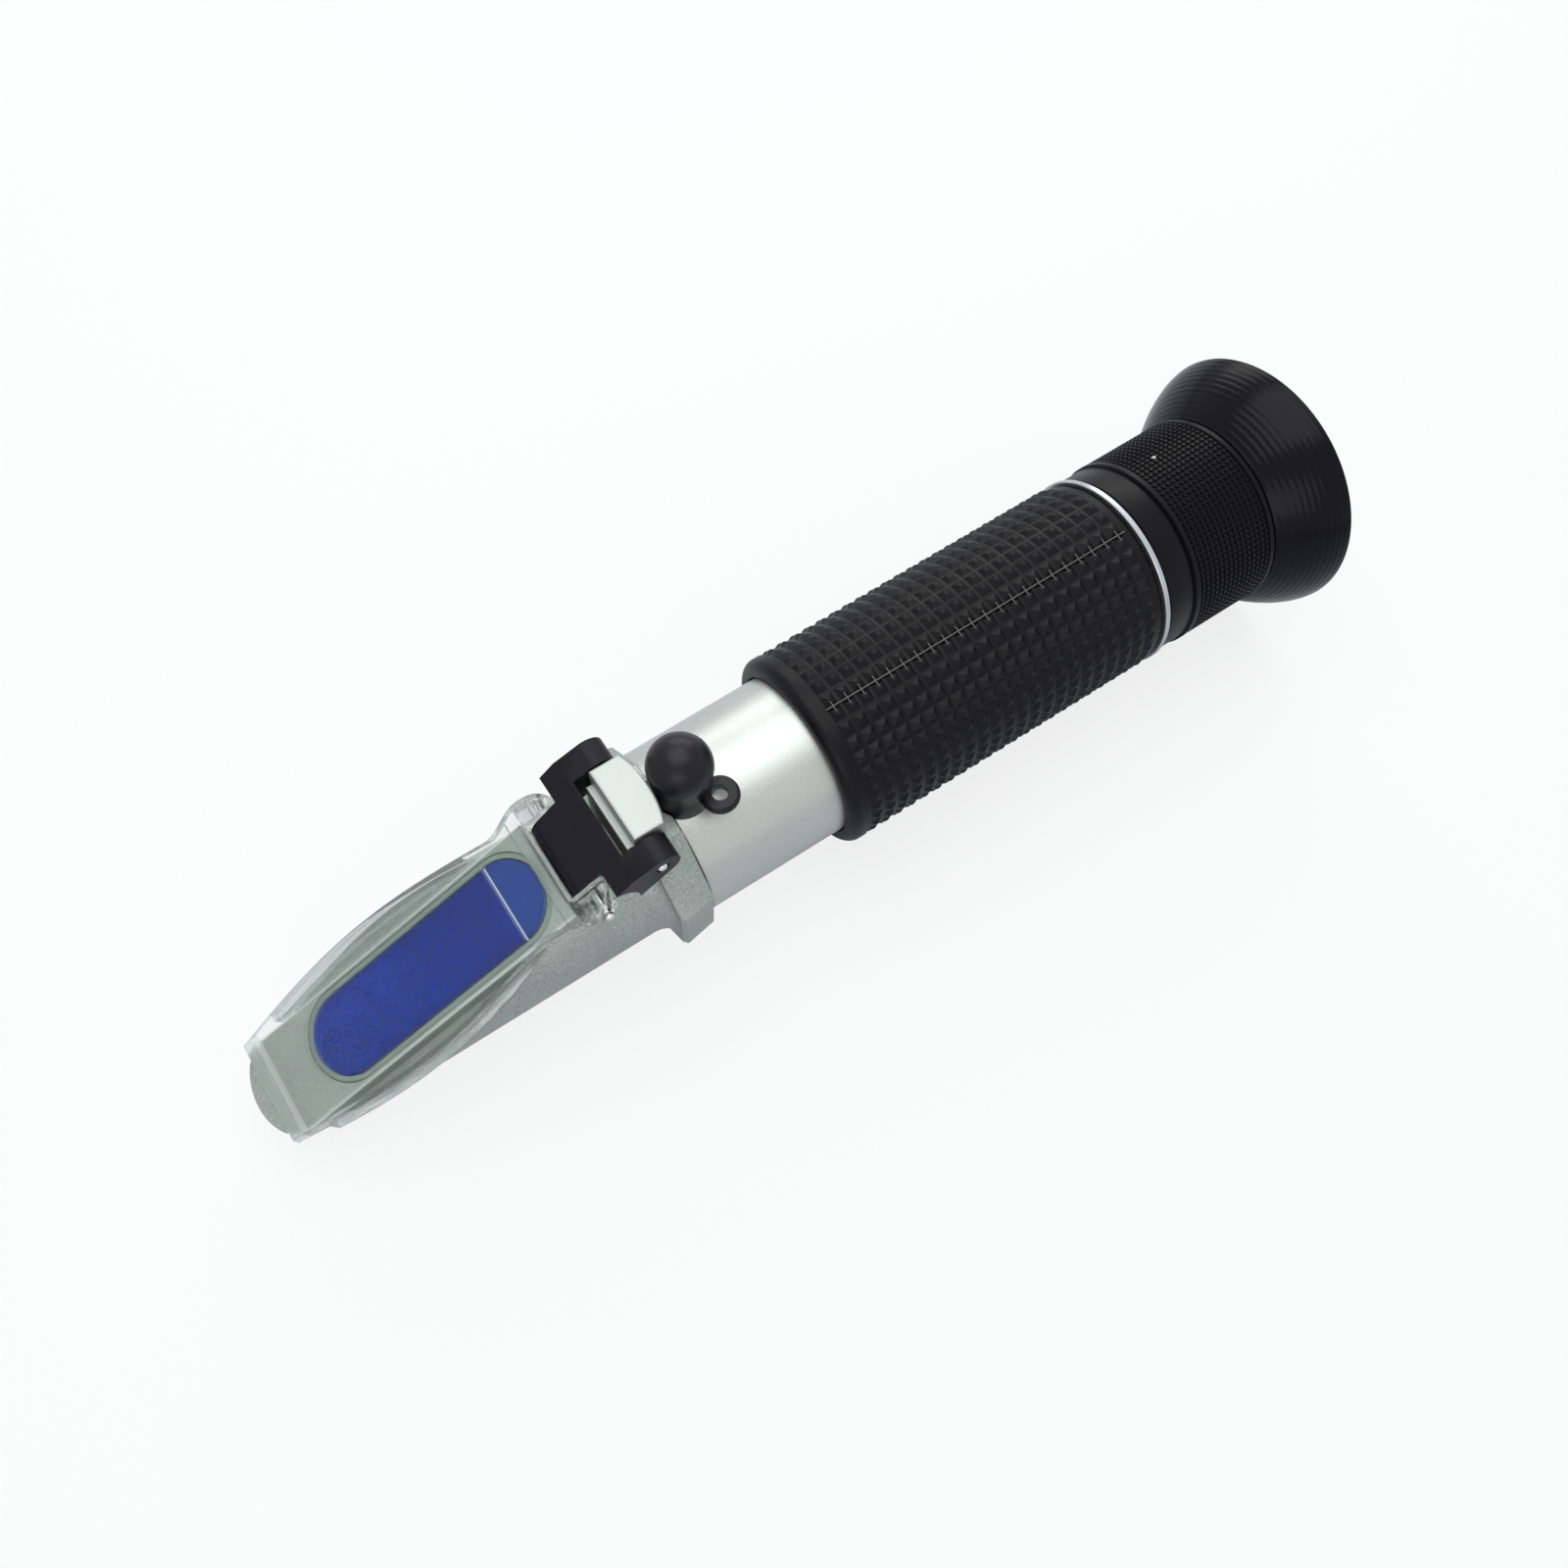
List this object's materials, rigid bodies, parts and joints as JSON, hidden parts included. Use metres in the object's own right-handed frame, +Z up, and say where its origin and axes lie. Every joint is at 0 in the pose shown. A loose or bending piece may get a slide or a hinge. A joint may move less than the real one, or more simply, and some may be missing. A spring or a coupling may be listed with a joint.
{
  "type": "honey_refractometer",
  "caption": "Hand-held honey refractometer: metal prism box under a hinged clear daylight plate, tube with calibration cap, rubber grip, focus ring and flared eyecup",
  "frame": {"origin": "centre of the flat foot under the flange", "axes": "+X along the optical axis toward the eye, +Y across, +Z up out of the sloping prism face's side"},
  "size_m": [0.1744, 0.04, 0.0444],
  "materials": {
    "box_alloy": "satin",
    "prism_blue": "gloss",
    "seal_bead": "satin",
    "tube_metal": "satin",
    "trim_metal": "satin",
    "steel": "polished",
    "dark_steel": "satin",
    "brass": "satin",
    "black_rubber": "matte",
    "black_plastic": "satin",
    "inner_black": "matte",
    "clear_acrylic": "gloss",
    "lens_glass": "gloss"
  },
  "bodies": {
    "housing": {"prism_box": "box_alloy", "measuring_prism": "prism_blue", "prism_seal": "seal_bead", "light_stop": "inner_black", "body_tube": "tube_metal", "set_screw_near": "dark_steel", "set_screw_far": "dark_steel", "calibration_bush": "brass", "strip_screw_near": "steel", "strip_screw_far": "steel", "reticle_holder": "inner_black", "reticle_glass": "lens_glass", "reticle_retainer": "brass", "grip_sleeve": "black_rubber", "trim_ring": "trim_metal", "eyepiece_bush": "inner_black", "guide_screw": "dark_steel", "link_pin": "steel", "bimetal_strip": "brass", "objective_cell": "inner_black", "objective_lens": "lens_glass"},
    "link": {"cover_link": "black_plastic", "plate_pin": "steel"},
    "plate": {"daylight_plate": "clear_acrylic"},
    "cap": {"calibration_cap": "black_rubber"},
    "adjuster": {"calibration_screw": "steel"},
    "lens_carriage": {"lens_barrel": "inner_black", "field_lens": "lens_glass", "lens_spacer": "inner_black", "eye_lens": "lens_glass", "lens_retainer": "inner_black"},
    "focus_grip": {"focus_ring": "black_plastic", "eyecup": "black_rubber"}
  },
  "joints": [
    {"name": "link_fold", "type": "hinge", "parent": "housing", "child": "link", "pos_m": [-0.0026, 0, 0.0319], "axis": [0, 1, 0], "range_deg": [0, 100]},
    {"name": "plate_tilt", "type": "hinge", "parent": "link", "child": "plate", "pos_m": [-0.0111, 0, 0.0268], "axis": [0, 1, 0], "range_deg": [0, 45]},
    {"name": "focus_travel", "type": "slide", "parent": "housing", "child": "lens_carriage", "axis": [1, 0, 0], "range_m": [0, 0.0025]},
    {"name": "focus_turn", "type": "hinge", "parent": "lens_carriage", "child": "focus_grip", "pos_m": [0.09, 0, 0.0145], "axis": [1, 0, 0], "range_deg": [0, 360]},
    {"name": "cap_pull", "type": "slide", "parent": "housing", "child": "cap", "axis": [0, 0, 1], "range_m": [0, 0.008]},
    {"name": "calibration_turn", "type": "hinge", "parent": "housing", "child": "adjuster", "pos_m": [0.0059, 0, 0.03], "axis": [0, 0, 1], "range_deg": [-180, 180]}
  ],
  "couplings": [
    {"joint": "focus_travel", "follows": "focus_turn", "m_per_rad": 0.00039788}
  ]
}
